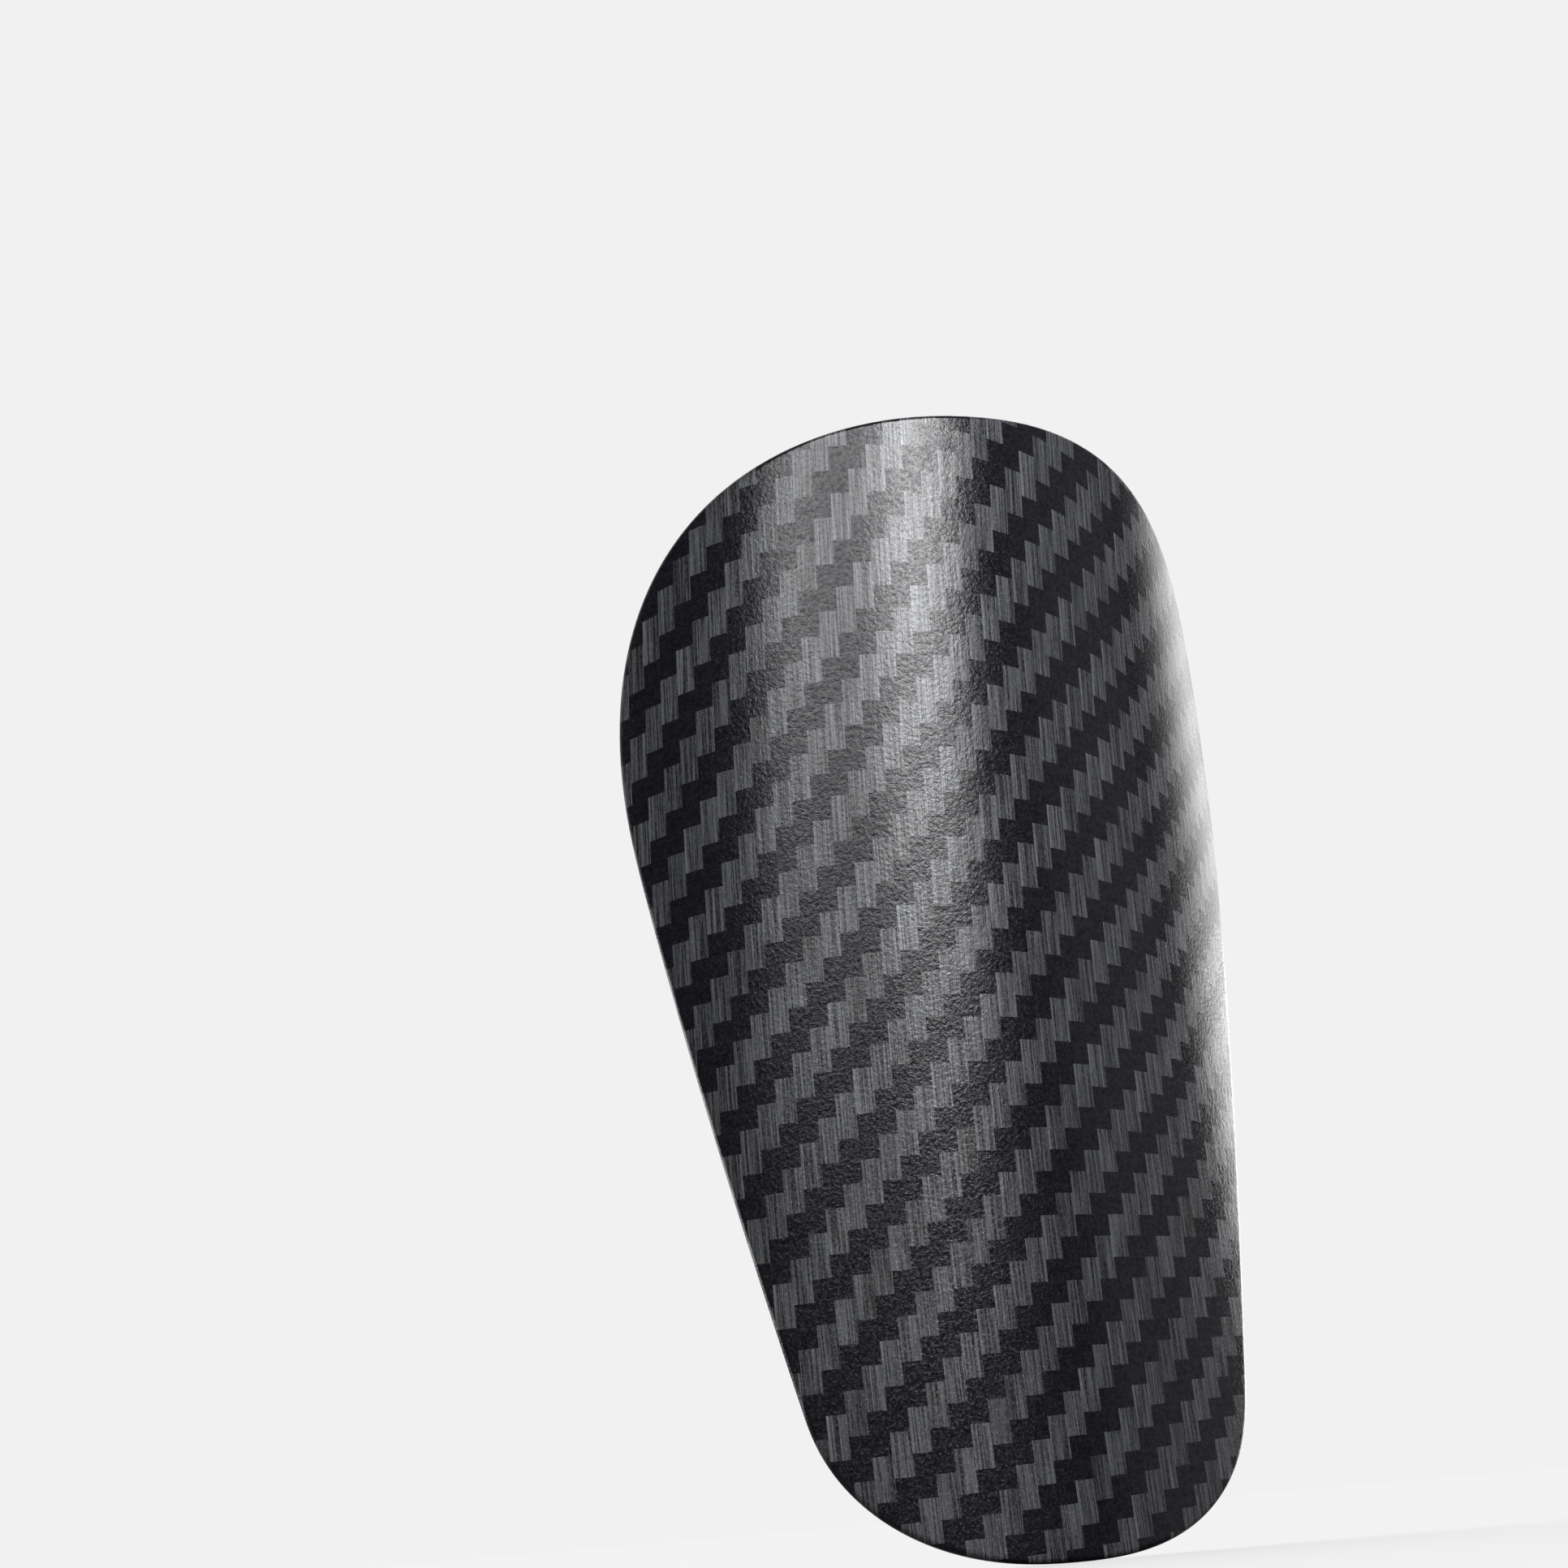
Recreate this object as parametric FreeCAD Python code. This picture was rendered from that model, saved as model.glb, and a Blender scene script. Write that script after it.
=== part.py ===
"""Slip-in football shin guard: a curved hard shell wrapped in a printed film, with a foam pad inside.

The guard stands on its ankle end. Z runs up the leg, the bulging outside faces -Y, the leg is on
the +Y side, X = 0 is the plane of symmetry, and the origin is under the middle of its box.

Every layer follows one curved face. A place on it has three numbers, all in millimetres:
  across  the distance round the curve from the front line, measured on the outside face
  z       the height
  depth   how far in from the outside face, towards the axis of the curve
"""

import FreeCAD
import Part
import math
import os

# ---- Driving dimensions, in millimetres ----
height = 190.0             # ankle end to knee end
knee_radius = 62.5         # radius of the outside face at the knee end
ankle_radius = 88.5        # the same at the ankle end
end_flare = 5.0            # how far both ends lean forward of the middle of the front line

knee_half_width = 78.5     # half the blank's width where its side line would reach the knee end
ankle_half_width = 35.5    # the same at the ankle end
knee_round = 74.0          # height of the rounded knee end
knee_fullness = 2.25       # 2 is a true half ellipse, and more is squarer
ankle_round = 26.0         # height of the rounded corners at the ankle end
ankle_fullness = 2.4

film_thickness = 0.4       # decorated film outside
hem_width = 7.0            # how far the film is folded in over the back of the rim
shell_thickness = 1.8      # moulded shell
pad_thickness = 4.6        # foam, in the middle of the pad
pad_margin = 3.2           # rim left bare round the pad
pad_bevel = 5.5            # width of the pad's sloping border
pad_edge = 1.2             # height of the upright step at the pad's border

# ---- How finely the curves are drawn ----
section_count = 7          # cross sections along the height
outline_side = 10          # points along each straight side
outline_knee = 15          # points round each half of the knee end
outline_ankle = 13         # points round each half of the ankle end
spare = 12.0               # how far the stock of a layer runs past the finished guard
longest_turn = 1.25        # the most that the stock goes round each way, in radians
overshoot = 0.5            # how far a cutting wall runs past the layer that it cuts
box_facet = 0.05           # how closely the facets follow the faces when a box is measured

shell_back = film_thickness + shell_thickness


def front_line(z):
    """Y of the outside face on the plane of symmetry, before the whole guard is centred."""
    return -end_flare * (2.0 * z / height - 1.0) ** 2


def radius(z):
    return ankle_radius + (knee_radius - ankle_radius) * z / height


def place(across, z, depth):
    """The point that lies so far round, so high and so deep."""
    angle = across / radius(z)
    reach = radius(z) - depth
    return FreeCAD.Vector(reach * math.sin(angle), front_line(z) + radius(z) - reach * math.cos(angle), z)


def side_line(z):
    return ankle_half_width + (knee_half_width - ankle_half_width) * z / height


def cosine(turn):
    """The cosine of 0 to a quarter turn, never below 0 by rounding."""
    return max(math.cos(turn), 0.0)


def half_outline():
    """(across, z) on the +X side of the blank, from the middle of the ankle end to the knee end's."""
    points = []
    for step in range(outline_ankle):
        turn = math.pi / 2 * step / outline_ankle
        z = ankle_round * (1.0 - cosine(turn) ** (2.0 / ankle_fullness))
        points.append((side_line(z) * math.sin(turn) ** (2.0 / ankle_fullness), z))
    straight = height - knee_round - ankle_round
    for step in range(outline_side):
        z = ankle_round + straight * step / outline_side
        points.append((side_line(z), z))
    for step in range(outline_knee + 1):
        turn = math.pi / 2 * step / outline_knee
        z = height - knee_round * (1.0 - math.sin(turn) ** (2.0 / knee_fullness))
        points.append((side_line(z) * cosine(turn) ** (2.0 / knee_fullness), z))
    return points


def outline(inset):
    """The blank's closed outline, moved in by inset all round."""
    right = half_outline()
    left = [(-across, z) for across, z in reversed(right[1:-1])]
    points = right + left
    moved = []
    for index, (across, z) in enumerate(points):
        before, after = points[index - 1], points[(index + 1) % len(points)]
        run, rise = after[0] - before[0], after[1] - before[1]
        length = math.hypot(run, rise)
        moved.append((across - inset * rise / length, z + inset * run / length))
    return moved


def arc(z, depth, sign=1):
    """The cross section of one face at one height, longer than the guard is wide."""
    reach = min(knee_half_width + spare, longest_turn * radius(z))
    return Part.Arc(*(place(side * reach, z, depth) for side in (-sign, 0, sign))).toShape()


def heights():
    run = height + 2.0 * spare
    return [run * step / (section_count - 1) - spare for step in range(section_count)]


def slab(near, far):
    """An oversize curved slab between two depths."""
    wires = []
    for z in heights():
        outer, inner = arc(z, near), arc(z, far, -1)
        first = Part.makeLine(outer.lastVertex(True).Point, inner.firstVertex(True).Point)
        last = Part.makeLine(inner.lastVertex(True).Point, outer.firstVertex(True).Point)
        wires.append(Part.Wire([outer, first, inner, last]))
    return Part.makeLoft(wires, True)


def loop(inset, depth):
    """The closed outline at one depth."""
    curve = Part.BSplineCurve()
    points = [place(across, z, depth) for across, z in outline(inset)]
    curve.interpolate(Points=points, PeriodicFlag=True)
    return Part.Wire([curve.toShape()])


def wall(stations):
    """A closed wall through the layers, along the outline at each (inset, depth)."""
    loops = [loop(inset, depth) for inset, depth in stations]
    return [Part.makeRuledSurface(near, far) for near, far in zip(loops, loops[1:])]


def trim(stock, border):
    """The piece of a slab that the border encloses, which is the one that holds its middle."""
    pieces = stock.generalFuse(border)[0].Solids
    box = stock.BoundBox
    front = place(0.0, height / 2, 0.0)
    ray = Part.makeLine(front - FreeCAD.Vector(0, 1, 0), front + FreeCAD.Vector(0, box.YLength, 0))
    return next(piece for piece in pieces if piece.common(ray).Length > 0)


def layer(near, far, inset):
    """One layer, with a border square to its faces."""
    return trim(slab(near, far), wall([(inset, near - overshoot), (inset, far + overshoot)]))


def carbon_film():
    """Skin over the outside, wrapped round the rim and folded in as a hem."""
    hem_back = shell_back + film_thickness
    wrap = layer(0.0, hem_back, 0.0)
    window = layer(shell_back - overshoot, hem_back + overshoot, hem_width)
    return wrap.cut(window).cut(hard_shell())


def hard_shell():
    return layer(film_thickness, shell_back, film_thickness)


def adhesive_sheet():
    """Double-sided sheet that fills the window inside the hem."""
    return layer(shell_back, shell_back + film_thickness, hem_width)


def foam_pad():
    """Pad with an upright step at its border, a sloping band, and a flat field."""
    base = shell_back + film_thickness
    step_top = base + pad_edge
    top = base + pad_thickness
    slope = pad_bevel / (top - step_top)
    border = wall([
        (pad_margin, base - overshoot),
        (pad_margin, step_top),
        (pad_margin + pad_bevel + slope * overshoot, top + overshoot),
    ])
    return trim(slab(base, top), border)


def exact_box(shapes):
    """The box of the shapes themselves, which the stock they were cut from doesn't widen."""
    box = FreeCAD.BoundBox()
    for shape in shapes:
        for point in shape.tessellate(box_facet)[0]:
            box.add(point)
    return box


def main():
    pieces = {
        "carbon_film": carbon_film(),
        "hard_shell": hard_shell(),
        "adhesive_sheet": adhesive_sheet(),
        "foam_pad": foam_pad(),
    }
    box = exact_box(pieces.values())
    centring = FreeCAD.Vector(0.0, -(box.YMin + box.YMax) / 2, -box.ZMin)
    os.makedirs("parts", exist_ok=True)
    for node, shape in pieces.items():
        shape.translate(centring)
        shape.exportStep(f"parts/{node}.step")
        size = exact_box([shape])
        print(
            f"{node}: {len(shape.Solids)} solid, valid {shape.isValid()},"
            f" x {size.XMin:.2f} {size.XMax:.2f}, y {size.YMin:.2f} {size.YMax:.2f},"
            f" z {size.ZMin:.2f} {size.ZMax:.2f}"
        )


main()
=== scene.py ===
"""Looks of the slip-in shin guard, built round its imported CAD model. Lengths are in metres."""

import math

import bpy
from mathutils import Euler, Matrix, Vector


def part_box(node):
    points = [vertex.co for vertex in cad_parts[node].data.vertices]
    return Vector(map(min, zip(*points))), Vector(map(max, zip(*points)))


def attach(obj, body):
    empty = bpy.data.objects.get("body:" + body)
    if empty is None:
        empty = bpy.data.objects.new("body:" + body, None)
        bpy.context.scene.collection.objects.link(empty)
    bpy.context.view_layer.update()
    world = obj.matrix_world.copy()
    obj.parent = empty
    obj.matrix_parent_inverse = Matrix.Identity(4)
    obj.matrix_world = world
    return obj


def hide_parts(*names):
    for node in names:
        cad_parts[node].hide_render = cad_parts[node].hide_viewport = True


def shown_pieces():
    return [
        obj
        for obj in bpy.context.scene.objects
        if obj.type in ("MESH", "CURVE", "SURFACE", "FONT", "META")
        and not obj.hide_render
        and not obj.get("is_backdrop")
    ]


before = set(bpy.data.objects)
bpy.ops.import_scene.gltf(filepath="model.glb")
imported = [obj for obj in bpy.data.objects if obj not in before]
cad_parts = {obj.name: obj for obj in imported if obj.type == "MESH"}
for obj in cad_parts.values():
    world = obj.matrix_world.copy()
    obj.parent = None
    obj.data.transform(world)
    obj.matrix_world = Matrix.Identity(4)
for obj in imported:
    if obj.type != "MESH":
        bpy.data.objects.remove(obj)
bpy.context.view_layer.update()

MM = 0.001

# ---- The guard's curve and outline, as in the CAD model ----
FILM_LOW, FILM_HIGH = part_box("carbon_film")
HEIGHT = FILM_HIGH.z - FILM_LOW.z
KNEE_RADIUS = 62.5 * MM
ANKLE_RADIUS = 88.5 * MM
END_FLARE = 5.0 * MM
FRONT = FILM_LOW.y + END_FLARE
KNEE_HALF_WIDTH = 78.5 * MM
ANKLE_HALF_WIDTH = 35.5 * MM
KNEE_ROUND = 74.0 * MM
KNEE_FULLNESS = 2.25
ANKLE_ROUND = 26.0 * MM
ANKLE_FULLNESS = 2.4

# ---- Layers. RIM is how deep behind the outside face the hem's face lies ----
FILM = 0.4 * MM
HEM = 7.0 * MM
SHELL = 1.8 * MM
RIM = 2 * FILM + SHELL
PAD = 4.6 * MM
PAD_MARGIN = 3.2 * MM
PAD_BEVEL = 5.5 * MM
PAD_STEP = 1.2 * MM

# ---- Rounding of edges, seen only in the Blender meshes ----
OUTSIDE_EDGE = 0.9 * MM
BACK_EDGE = 0.6 * MM
HEM_EASE = 0.1 * MM
PAD_FOOT_EASE = 0.2 * MM
PAD_SHOULDER = 0.5 * MM
PAD_SHOULDER_LIFT = 0.1 * MM
PAD_CROWN = 0.12

# ---- Printed twill: tows counted from the middle to SIDE, and rows from mid height to either end ----
SIDE = 60 * MM
TOWS_TO_SIDE = 18.9
TOW_FIRST = 0.77
TOW_LEAN = 0.12
TOW_FAN = 0.49
ROWS_TO_END = 25.7
ROW_FIRST = 25.05
ROW_STRETCH = 0.95
ROW_TILT = 1.03
ROW_TWIST = 2.08
ROW_BOW = 1.66
ROW_BOW_GROWTH = 2.46

# ---- Camera ----
CAMERA_PLACE = Vector((-230.19, -495.06, 8.46)) * MM
CAMERA_TURN = [math.radians(angle) for angle in (102.83, 4.646, -20.735)]
CAMERA_LENS = 75.34
SENSOR_WIDTH = 36.0
CLIP_NEAR = 0.01
CLIP_FAR = 100.0

# ---- How finely the meshes are drawn: steps along half the outline and round an edge, columns across ----
ANKLE_STEPS = 36
SIDE_STEPS = 56
KNEE_STEPS = 52
COLUMNS = 48
OUTSIDE_EDGE_STEPS = 7
BACK_EDGE_STEPS = 6
PAD_SHOULDER_STEPS = 5


def radius(z):
    """The radius of the outside face at this height."""
    return ANKLE_RADIUS + (KNEE_RADIUS - ANKLE_RADIUS) * z / HEIGHT


def place(across, z, depth):
    """The point so far round the front line, so high, and so deep behind the outside face."""
    angle = across / radius(z)
    reach = radius(z) - depth
    front = FRONT - END_FLARE * (2 * z / HEIGHT - 1) ** 2
    return Vector((reach * math.sin(angle), front + radius(z) - reach * math.cos(angle), z))


def side_line(z):
    """The blank's half width at this height, before its ends are rounded."""
    return ANKLE_HALF_WIDTH + (KNEE_HALF_WIDTH - ANKLE_HALF_WIDTH) * z / HEIGHT


def cosine(turn):
    """The cosine of 0 to a quarter turn, never below 0 by rounding."""
    return max(math.cos(turn), 0.0)


def half_outline():
    """(across, z) up the +X side of the blank, from the middle of the ankle end to the knee end's."""
    points = []
    for step in range(ANKLE_STEPS):
        turn = math.pi / 2 * step / ANKLE_STEPS
        z = ANKLE_ROUND * (1 - cosine(turn) ** (2 / ANKLE_FULLNESS))
        points.append((side_line(z) * math.sin(turn) ** (2 / ANKLE_FULLNESS), z))
    straight = HEIGHT - KNEE_ROUND - ANKLE_ROUND
    for step in range(SIDE_STEPS):
        z = ANKLE_ROUND + straight * step / SIDE_STEPS
        points.append((side_line(z), z))
    for step in range(KNEE_STEPS + 1):
        turn = math.pi / 2 * step / KNEE_STEPS
        z = HEIGHT - KNEE_ROUND * (1 - math.sin(turn) ** (2 / KNEE_FULLNESS))
        points.append((side_line(z) * cosine(turn) ** (2 / KNEE_FULLNESS), z))
    return points


HALF = half_outline()


def inset_half(inset):
    """The half outline moved in by inset. Its two ends stay on the plane of symmetry."""
    moved = []
    for index, (across, z) in enumerate(HALF):
        before = HALF[index - 1] if index else (-HALF[1][0], HALF[1][1])
        after = HALF[index + 1] if index + 1 < len(HALF) else (-HALF[-2][0], HALF[-2][1])
        run, rise = after[0] - before[0], after[1] - before[1]
        length = math.hypot(run, rise)
        moved.append((across - inset * rise / length, z + inset * run / length))
    return moved


class Layered:
    """A closed mesh: a front and a back field, joined round the rim by rings of (inset, depth) stations."""

    def __init__(self, name, stations):
        self.name = name
        self.verts, self.flat, self.insets, self.faces = [], [], [], []
        rings = [self.ring(inset, depth) for inset, depth in stations]
        for near, far in zip(rings, rings[1:]):
            self.band(near, far)
        self.field(rings[0], stations[0], False)
        self.field(rings[-1], stations[-1], True)

    def vertex(self, across, z, depth, inset):
        self.verts.append(place(across, z, depth))
        self.flat.append((across, z))
        self.insets.append(inset)
        return len(self.verts) - 1

    def ring(self, inset, depth):
        half = inset_half(inset)
        right = [self.vertex(across, z, depth, inset) for across, z in half]
        left = [self.vertex(-across, z, depth, inset) for across, z in reversed(half[1:-1])]
        return right + left

    def band(self, near, far):
        count = len(near)
        for a in range(count):
            b = (a + 1) % count
            self.faces.append((near[a], far[a], far[b], near[b]))

    def field(self, ring, station, flip):
        """Rows of quads between the two sides of a ring, which close to a point at either end."""
        inset, depth = station
        top = len(HALF) - 1
        rows = [[ring[0]]]
        for index in range(1, top):
            right, left = ring[index], ring[-index]
            across, z = self.flat[right]
            inner = [
                self.vertex(across * (1 - 2 * column / COLUMNS), z, depth, inset)
                for column in range(1, COLUMNS)
            ]
            rows.append([right] + inner + [left])
        rows.append([ring[top]])
        for low, high in zip(rows, rows[1:]):
            for column in range(COLUMNS):
                a, b = low[min(column, len(low) - 1)], low[min(column + 1, len(low) - 1)]
                d, c = high[min(column, len(high) - 1)], high[min(column + 1, len(high) - 1)]
                corners = list(dict.fromkeys((a, b, c, d)))
                self.faces.append(tuple(corners if flip else reversed(corners)))

    def make(self):
        mesh = bpy.data.meshes.new(self.name)
        mesh.from_pydata(self.verts, [], self.faces)
        mesh.validate()
        weave = mesh.uv_layers.new(name="weave")
        for loop in mesh.loops:
            across, z = self.flat[loop.vertex_index]
            weave.data[loop.index].uv = twill_place(across, z)
        inset = mesh.attributes.new("inset", "FLOAT", "POINT")
        inset.data.foreach_set("value", self.insets)
        for polygon in mesh.polygons:
            polygon.use_smooth = True
        piece = bpy.data.objects.new(self.name, mesh)
        bpy.context.scene.collection.objects.link(piece)
        return piece


def twill_place(across, z):
    """Which tow, and how far up it, a place on the film falls on. Forming has stretched the film a little."""
    side = across / SIDE
    rise = 2 * z / HEIGHT - 1
    tow = TOW_FIRST + TOWS_TO_SIDE * side + (TOW_LEAN + TOW_FAN * side) * rise
    row = ROW_FIRST + ROWS_TO_END * rise - ROW_STRETCH * rise ** 2
    row += (ROW_TILT + ROW_TWIST * rise) * side + (ROW_BOW + ROW_BOW_GROWTH * rise) * side ** 2
    return tow, row


def versine(turn):
    return 1 - math.cos(turn)


def rounded(start, end, inset_share, depth_share, steps):
    """Quarter ellipse of (inset, depth) stations from start to end, bulging to the outline."""
    stations = []
    for step in range(steps + 1):
        turn = math.pi / 2 * step / steps
        stations.append((start[0] + (end[0] - start[0]) * inset_share(turn),
                         start[1] + (end[1] - start[1]) * depth_share(turn)))
    return stations


def film_stations():
    """From the outside face round the rim, along the hem to its cut edge, and back inside the fold."""
    flat = [(inset * MM, 0) for inset in (4, 2.2, 1.3)]
    outside = rounded((OUTSIDE_EDGE, 0), (0, OUTSIDE_EDGE), math.sin, versine, OUTSIDE_EDGE_STEPS)
    behind = rounded((0, RIM - BACK_EDGE), (BACK_EDGE, RIM), versine, math.sin, BACK_EDGE_STEPS)
    hem = [(inset * MM, RIM) for inset in (1.6, 3, 5)]
    cut = [(HEM - HEM_EASE, RIM), (HEM, RIM - HEM_EASE), (HEM, RIM - FILM)]
    under = [(3 * MM, RIM - FILM), (1.2 * MM, RIM - FILM), (FILM, RIM - 2 * FILM)]
    inner = [(FILM, 2 * FILM), (FILM + 0.5 * MM, FILM)]
    return flat + outside + behind + hem + cut + under + inner


def pad_stations():
    """From under the pad up its step, over the shoulder, up the crowned slope and over the low bead."""
    foot = PAD_MARGIN
    crest = foot + PAD_BEVEL
    step_top = RIM + PAD_STEP
    top = RIM + PAD
    start = [(foot + 1.5 * MM, RIM), (foot + PAD_FOOT_EASE, RIM), (foot, RIM + PAD_FOOT_EASE)]
    shoulder = rounded((foot, step_top - PAD_SHOULDER), (foot + PAD_SHOULDER, step_top + PAD_SHOULDER_LIFT),
                       versine, math.sin, PAD_SHOULDER_STEPS)
    slope = []
    for share in (0.25, 0.4, 0.55, 0.7, 0.82, 0.91):
        lift = (1 + PAD_CROWN) * share - PAD_CROWN * share ** 3
        slope.append((foot + PAD_BEVEL * share, step_top + (PAD - PAD_STEP) * lift))
    bead = [
        (crest + past * MM, top - drop * MM)
        for past, drop in ((0.3, 0.02), (1.1, 0), (2.0, 0.14), (3.2, 0.3))
    ]
    return start + shoulder + slope + bead


# ---- Materials ----
class Nodes:
    """Short ways to add and link shader nodes."""

    def __init__(self, name):
        self.material = bpy.data.materials.new(name)
        self.material.use_nodes = True
        self.tree = self.material.node_tree
        self.shader = self.tree.nodes["Principled BSDF"]

    def add(self, kind, **settings):
        node = self.tree.nodes.new(kind)
        for key, value in settings.items():
            setattr(node, key, value)
        return node

    def feed(self, socket, value):
        if isinstance(value, bpy.types.NodeSocket):
            self.tree.links.new(value, socket)
        else:
            socket.default_value = value

    def paint(self, **inputs):
        """Feed inputs of the shader, with _ for each space in an input's name."""
        for name, value in inputs.items():
            self.feed(self.shader.inputs[name.replace("_", " ")], value)

    def math(self, operation, *values):
        node = self.add("ShaderNodeMath", operation=operation)
        for socket, value in zip(node.inputs, values):
            self.feed(socket, value)
        return node.outputs[0]

    def vector(self, *values):
        node = self.add("ShaderNodeCombineXYZ")
        for socket, value in zip(node.inputs, values):
            self.feed(socket, value)
        return node.outputs[0]

    def noise(self, vector, scale, detail=2.0, roughness=0.5):
        node = self.add("ShaderNodeTexNoise")
        self.feed(node.inputs["Vector"], vector)
        self.feed(node.inputs["Scale"], scale)
        self.feed(node.inputs["Detail"], detail)
        self.feed(node.inputs["Roughness"], roughness)
        return node.outputs["Fac"]

    def remap(self, value, source, target):
        """The value with the source range stretched over the target range, and held at its ends."""
        node = self.add("ShaderNodeMapRange")
        for socket, number in zip(node.inputs, (value, *source, *target)):
            self.feed(socket, number)
        return node.outputs[0]

    def mix_number(self, share, first, second):
        node = self.add("ShaderNodeMix", data_type="FLOAT")
        for index, value in ((0, share), (2, first), (3, second)):
            self.feed(node.inputs[index], value)
        return node.outputs[0]

    def mix_colour(self, share, first, second):
        node = self.add("ShaderNodeMix", data_type="RGBA")
        for index, value in ((0, share), (6, first), (7, second)):
            self.feed(node.inputs[index], value)
        return node.outputs[2]

    def tinted(self, shade, *shares):
        """A colour: the shade times its share for red, for green and for blue."""
        node = self.add("ShaderNodeCombineColor")
        for socket, share in zip(node.inputs, shares):
            self.feed(socket, self.math("MULTIPLY", shade, share))
        return node.outputs[0]

    def bump(self, height, strength, distance, normal=None):
        node = self.add("ShaderNodeBump")
        self.feed(node.inputs["Strength"], strength)
        self.feed(node.inputs["Distance"], distance)
        self.feed(node.inputs["Height"], height)
        if normal is not None:
            self.feed(node.inputs["Normal"], normal)
        return node.outputs[0]

    def object_place(self):
        return self.add("ShaderNodeTexCoord").outputs["Object"]


# ---- Grain sizes, in noise cells to a metre ----
SPECKLE = 2600.0
WRINKLES = 1500.0
PORES = 3200.0
FOAM_GRAIN = 1500.0
CLOUDS = 45.0
SHELL_HAZE = 220.0
SHELL_GRAIN = 1800.0
ADHESIVE_HAZE = 400.0

# ---- The twill's repeat, in cells. Phases 0 and 1 of it show the warp tow, and 2 and 3 the weft ----
REPEAT = 4.0
WARP_PHASES = 1.5
TOW_EDGE = 0.14
SEED_SPREAD = 60.0
WEFT_SEED = 40.5


def film_material():
    """Printed twill: pale fibre lines on the warp, a smooth dark weft, and a leather-like grain over both."""
    n = Nodes("twill_film")
    split = n.add("ShaderNodeSeparateXYZ")
    n.feed(split.inputs[0], n.add("ShaderNodeUVMap", uv_map="weave").outputs[0])
    u, v = split.outputs[0], split.outputs[1]
    column, row = n.math("FLOOR", u), n.math("FLOOR", v)
    step = n.math("SUBTRACT", column, row)
    warp = n.math("LESS_THAN", n.math("FLOORED_MODULO", step, REPEAT), WARP_PHASES)
    float_number = n.math("FLOOR", n.math("DIVIDE", step, REPEAT))

    def random_of(first, second):
        """A random number for each float of a tow."""
        white = n.add("ShaderNodeTexWhiteNoise", noise_dimensions="2D")
        n.feed(white.inputs["Vector"], n.vector(first, second, 0.0))
        return white.outputs["Value"]

    def streaks(per_tow, per_row, random, detail, roughness):
        """Noise in the weave's own cells, so many grains to a tow and to a row, different in each float."""
        place_in_weave = n.vector(n.math("MULTIPLY", u, per_tow), n.math("MULTIPLY", v, per_row),
                                  n.math("MULTIPLY", random, SEED_SPREAD))
        return n.noise(place_in_weave, 1.0, detail, roughness)

    warp_random = random_of(column, float_number)
    weft_random = random_of(row, n.math("ADD", float_number, WEFT_SEED))
    fibres = streaks(11.0, 0.2, warp_random, 2.0, 0.75)
    grit = streaks(12.0, 5.0, warp_random, 3.0, 0.75)
    weft_lines = streaks(0.3, 6.0, weft_random, 2.0, 0.6)
    where = n.object_place()
    speckle = n.noise(where, SPECKLE, 2.0, 0.6)
    wrinkles = n.noise(where, WRINKLES, 3.0, 0.6)
    edge_line = n.math("MULTIPLY", n.math("LESS_THAN", n.math("FRACT", u), TOW_EDGE), warp_random)

    lines = n.math("ADD", n.remap(fibres, (0.42, 0.66), (0.012, 0.105)),
                   n.remap(grit, (0.35, 0.7), (-0.022, 0.046)))
    lines = n.math("ADD", n.math("MULTIPLY", edge_line, 0.06), lines)
    warp_shade = n.math("MULTIPLY", lines, n.remap(warp_random, (0.0, 1.0), (0.48, 0.66)))
    weft_shade = n.remap(weft_lines, (0.3, 0.7), (0.0035, 0.0065))
    shade = n.mix_number(warp, weft_shade, warp_shade)
    # A rough coat on the warp is its fibres' broad sheen. Metallic flecks are the weft's grain in highlights.
    n.paint(
        Base_Color=n.tinted(shade, 0.9, 0.94, n.mix_number(warp, 1.4, 1.06)),
        Metallic=n.mix_number(warp, n.remap(wrinkles, (0.4, 0.64), (0.0, 0.45)), 0.14),
        Roughness=n.mix_number(warp, n.remap(speckle, (0.38, 0.62), (0.11, 0.29)),
                               n.remap(speckle, (0.38, 0.62), (0.11, 0.31))),
        Coat_Weight=n.math("MULTIPLY", warp, n.remap(fibres, (0.4, 0.66), (0.1, 0.95))),
        Coat_Roughness=0.5,
        Specular_IOR_Level=0.5,
        Normal=n.bump(wrinkles, 0.45, 0.14 * MM),
    )
    return n.material


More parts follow.
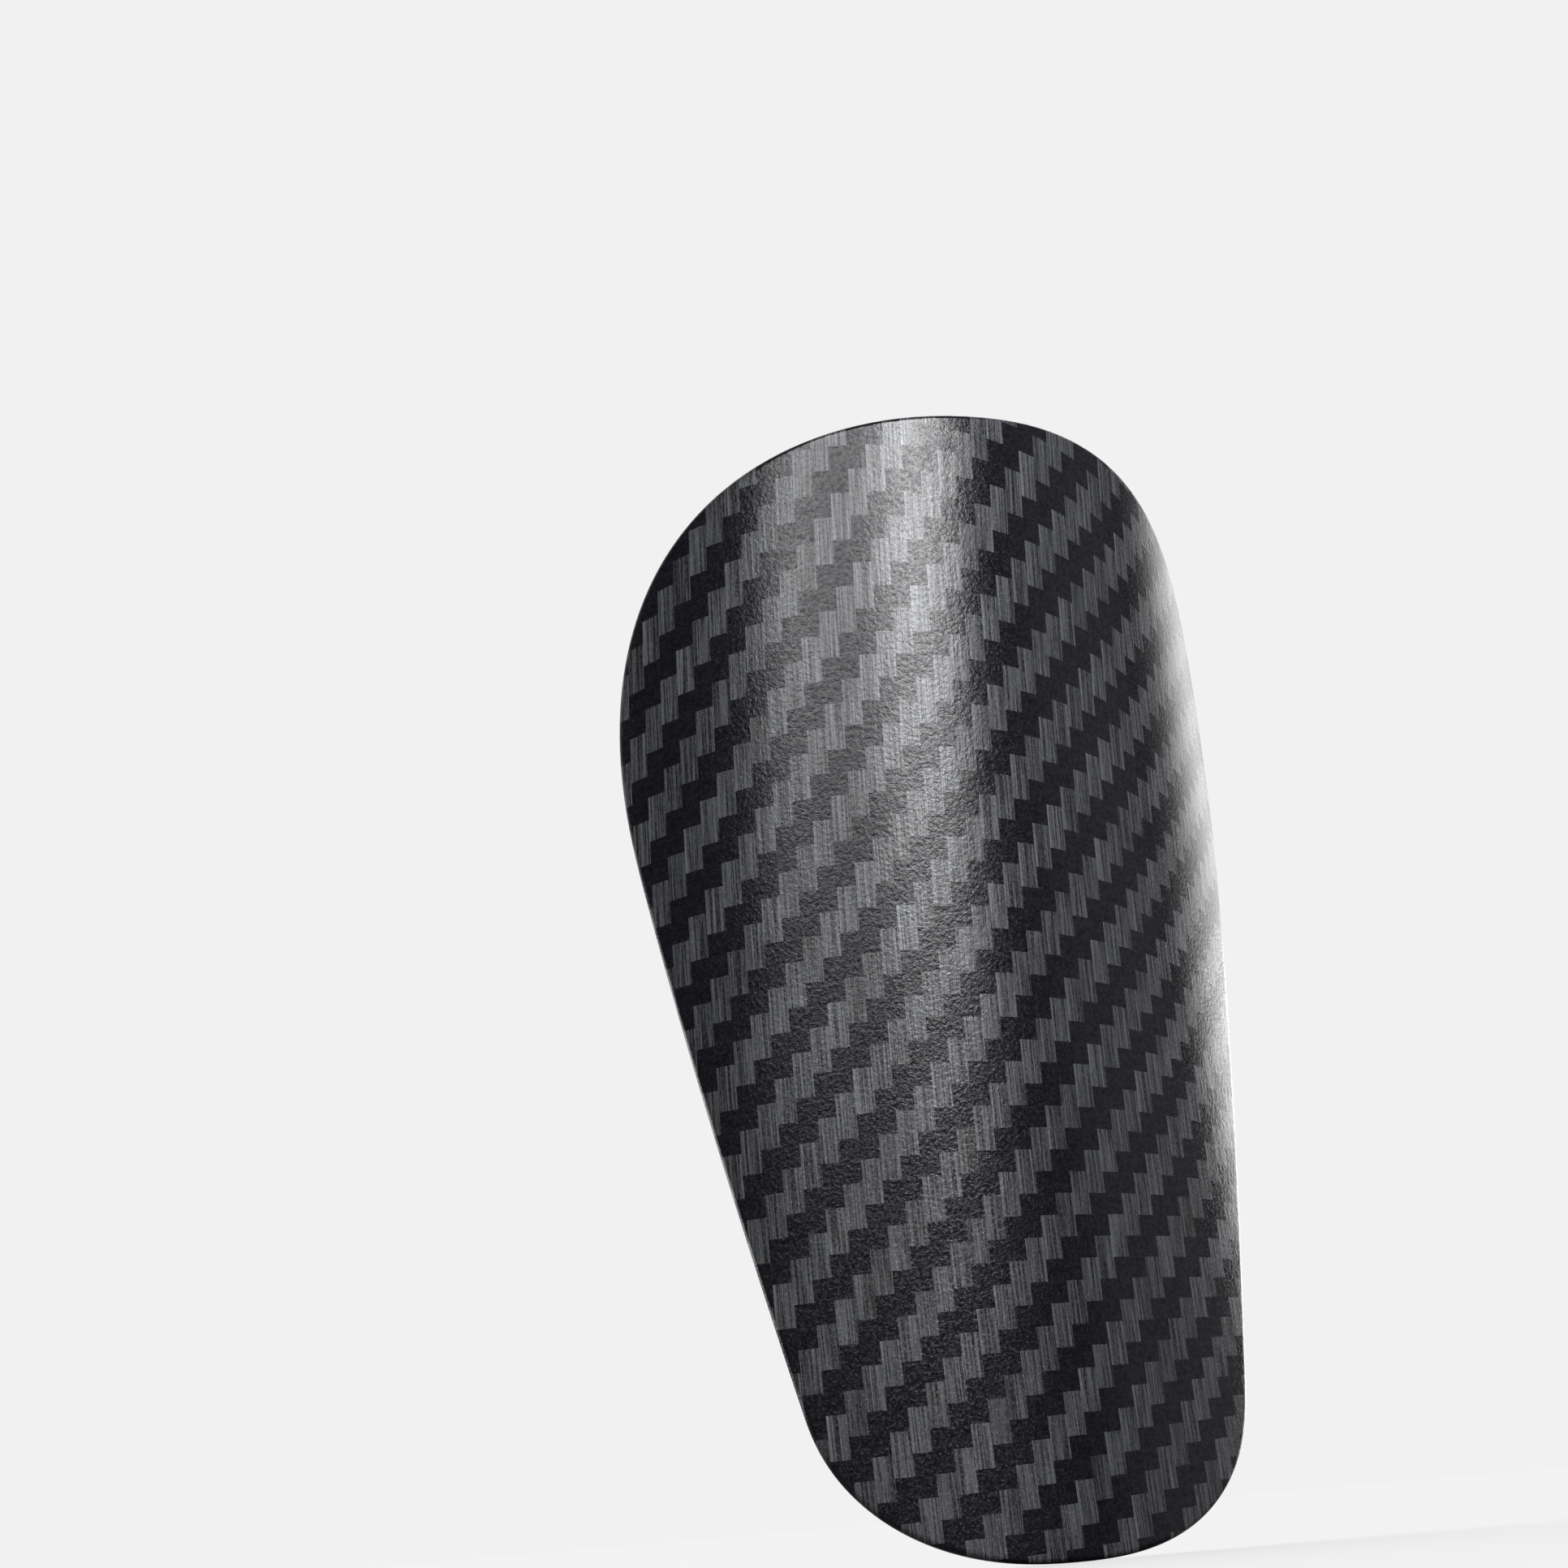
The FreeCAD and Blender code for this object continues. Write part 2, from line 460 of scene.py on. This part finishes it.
def foam_material():
    """Moulded foam: a smooth dark field, and a pressed border band and bead of finer grain, with painted
    sheen and highlight.
    """
    n = Nodes("eva_foam")
    where = n.object_place()
    cloud = n.noise(where, CLOUDS, 3.0, 0.55)
    pores = n.noise(where, PORES, 2.0, 0.6)
    grain = n.noise(where, FOAM_GRAIN, 3.0, 0.65)
    inset = n.add("ShaderNodeAttribute", attribute_name="inset").outputs["Fac"]
    crest = PAD_MARGIN + PAD_BEVEL

    def between(rise_from, rise_to, fall_from, fall_to):
        """1 between two insets, fading to 0 before and after them."""
        return n.math("MULTIPLY", n.remap(inset, (rise_from, rise_to), (0.0, 1.0)),
                      n.remap(inset, (fall_from, fall_to), (1.0, 0.0)))

    band = between(PAD_MARGIN, PAD_MARGIN + 0.8 * MM, crest - 0.6 * MM, crest + 1.2 * MM)
    bead = between(crest - 0.9 * MM, crest + 0.2 * MM, crest + 0.4 * MM, crest + 2.0 * MM)
    shade = n.math("ADD", n.remap(cloud, (0.3, 0.7), (0.0085, 0.0125)),
                   n.remap(pores, (0.3, 0.7), (-0.001, 0.0015)))
    # Painted light: the band on the slope is painted lighter as painted sheen, and the bead on the crest as a
    # painted highlight, both mottled by the grain.
    painted_sheen_and_highlight = n.math("ADD", n.math("MULTIPLY", band, 0.014), n.math("MULTIPLY", bead, 0.024))
    shade = n.math("ADD", shade, n.math("MULTIPLY", painted_sheen_and_highlight, n.remap(grain, (0.35, 0.65), (0.5, 1.5))))
    fine = n.bump(pores, 0.35, 0.04 * MM)
    n.paint(
        Base_Color=n.tinted(shade, 1.0, 1.03, 1.1),
        Roughness=n.remap(cloud, (0.3, 0.7), (0.5, 0.66)),
        Specular_IOR_Level=0.35,
        Normal=n.bump(n.math("MULTIPLY", grain, band), 0.6, 0.12 * MM, fine),
    )
    return n.material


def shell_material():
    """Moulded plastic, which the film and the pad cover."""
    n = Nodes("moulded_shell")
    where = n.object_place()
    haze = n.noise(where, SHELL_HAZE, 3.0, 0.5)
    n.paint(
        Base_Color=n.mix_colour(haze, (0.012, 0.012, 0.013, 1), (0.022, 0.022, 0.024, 1)),
        Roughness=n.remap(haze, (0.3, 0.7), (0.4, 0.52)),
        Normal=n.bump(n.noise(where, SHELL_GRAIN), 0.2, 0.04 * MM),
    )
    return n.material


def adhesive_material():
    """Cloudy adhesive, which the pad covers."""
    n = Nodes("adhesive")
    haze = n.noise(n.object_place(), ADHESIVE_HAZE, 4.0, 0.6)
    n.paint(
        Base_Color=n.mix_colour(haze, (0.5, 0.49, 0.44, 1), (0.62, 0.6, 0.55, 1)),
        Roughness=n.remap(haze, (0.3, 0.7), (0.35, 0.6)),
    )
    return n.material


def paint_cad(node, material):
    """Give a CAD node the material in every slot."""
    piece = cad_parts[node]
    if not piece.material_slots:
        piece.data.materials.append(material)
    for slot in piece.material_slots:
        slot.material = material


# ---- Stage: the camera sees an even pale floor and backdrop, and the guard a dark room with a pale back ----
PALE = 0.8795
ROOM = 0.08
SWEEP = 0.9
SWEEP_STARTS = -0.05
SWEEP_FULL = 0.45
FLOOR_HALF = 20.0
FLOOR_ALBEDO = 0.5
FLOOR_LIGHT = 0.18
WHITE = (1, 1, 1, 1)


def make_world():
    """A room whose level rises from ROOM to SWEEP with a direction's +Y part, and is PALE to the camera."""
    world = bpy.data.worlds.new("studio")
    bpy.context.scene.world = world
    world.use_nodes = True
    tree = world.node_tree
    split = tree.nodes.new("ShaderNodeSeparateXYZ")
    tree.links.new(tree.nodes.new("ShaderNodeTexCoord").outputs["Generated"], split.inputs[0])
    fade = tree.nodes.new("ShaderNodeMapRange")
    fade.interpolation_type = "SMOOTHSTEP"
    tree.links.new(split.outputs["Y"], fade.inputs[0])
    for socket, number in zip(list(fade.inputs)[1:5], (SWEEP_STARTS, SWEEP_FULL, ROOM, SWEEP)):
        socket.default_value = number
    level = tree.nodes.new("ShaderNodeMix")
    tree.links.new(tree.nodes.new("ShaderNodeLightPath").outputs["Is Camera Ray"], level.inputs[0])
    tree.links.new(fade.outputs[0], level.inputs[2])
    level.inputs[3].default_value = PALE
    back = tree.nodes["Background"]
    tree.links.new(level.outputs[0], back.inputs["Strength"])
    back.inputs["Color"].default_value = WHITE


def make_floor():
    """A matt floor that takes the guard's shadow, and looks as pale as the backdrop to the camera."""
    mesh = bpy.data.meshes.new("floor")
    corners = [(x * FLOOR_HALF, y * FLOOR_HALF, 0) for x, y in ((-1, -1), (1, -1), (1, 1), (-1, 1))]
    mesh.from_pydata(corners, [], [(0, 1, 2, 3)])
    floor = bpy.data.objects.new("floor", mesh)
    bpy.context.scene.collection.objects.link(floor)
    n = Nodes("floor")
    seen = n.add("ShaderNodeLightPath").outputs["Is Camera Ray"]
    n.paint(
        Base_Color=(FLOOR_ALBEDO, FLOOR_ALBEDO, FLOOR_ALBEDO, 1),
        Roughness=1.0,
        Specular_IOR_Level=0.0,
        Emission_Color=WHITE,
        Emission_Strength=n.math("MULTIPLY", seen, PALE - FLOOR_LIGHT),
    )
    mesh.materials.append(n.material)
    floor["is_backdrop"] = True


def add_light(name, distance, left, right, low, high, level, diffuse=True, glossy=True):
    """An upright softbox of the given radiance between two azimuths: 0 is in front, positive turns to +X."""
    turn = math.radians((left + right) / 2)
    data = bpy.data.lights.new(name, "AREA")
    data.shape = "RECTANGLE"
    data.size = 2 * distance * math.tan(math.radians(right - left) / 2)
    data.size_y = high - low
    data.energy = level * math.pi * data.size * data.size_y
    lamp = bpy.data.objects.new(name, data)
    lamp.location = (distance * math.sin(turn), -distance * math.cos(turn), (low + high) / 2)
    lamp.rotation_euler = Euler((math.pi / 2, 0, turn))
    lamp.visible_diffuse = diffuse
    lamp.visible_glossy = glossy
    lamp.visible_camera = False
    bpy.context.scene.collection.objects.link(lamp)
    return lamp


def light_guard():
    """Eight softboxes, which light only the guard's pieces and not the floor."""
    # name, distance (m), left and right azimuth (degrees), lowest and highest point (m), radiance
    lamps = [
        add_light("key", 0.4, -7, 16, 0.19, 0.50, 14.8),
        add_light("fill", 0.4, -30, -7, 0.19, 0.50, 4.6),
        add_light("fill_end", 0.4, -43, -30, 0.21, 0.50, 7.5),
        add_light("low_fill", 0.6, -35, 25, -0.25, 0.12, 2.1, glossy=False),
        add_light("side_haze", 0.5, 40, 80, -0.2, 0.5, 0.26, diffuse=False),
        add_light("rim_high", 0.5, 105, 130, 0.19, 0.60, 1.5, diffuse=False),
        add_light("rim_low", 0.5, 95, 140, -0.2, 0.18, 4.5, diffuse=False),
        add_light("left_edge", 0.5, -150, -95, -0.2, 0.14, 3.5, diffuse=False),
    ]
    lit = bpy.data.collections.new("lit_by_softboxes")
    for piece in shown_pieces():
        lit.objects.link(piece)
    for lamp in lamps:
        lamp.light_linking.receiver_collection = lit


def make_camera():
    data = bpy.data.cameras.new("camera")
    data.lens = CAMERA_LENS
    data.sensor_width = SENSOR_WIDTH
    data.clip_start = CLIP_NEAR
    data.clip_end = CLIP_FAR
    camera = bpy.data.objects.new("camera", data)
    camera.location = CAMERA_PLACE
    camera.rotation_euler = CAMERA_TURN
    bpy.context.scene.collection.objects.link(camera)
    bpy.context.scene.camera = camera


def main():
    make_camera()
    make_world()
    make_floor()
    bpy.context.scene.view_settings.view_transform = "Standard"

    film = Layered("film_cover", film_stations()).make()
    film.data.materials.append(film_material())
    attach(film, "root")
    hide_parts("carbon_film")

    pad = Layered("pad", pad_stations()).make()
    pad.data.materials.append(foam_material())
    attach(pad, "root")
    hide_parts("foam_pad")

    paint_cad("hard_shell", shell_material())
    paint_cad("adhesive_sheet", adhesive_material())

    light_guard()


main()
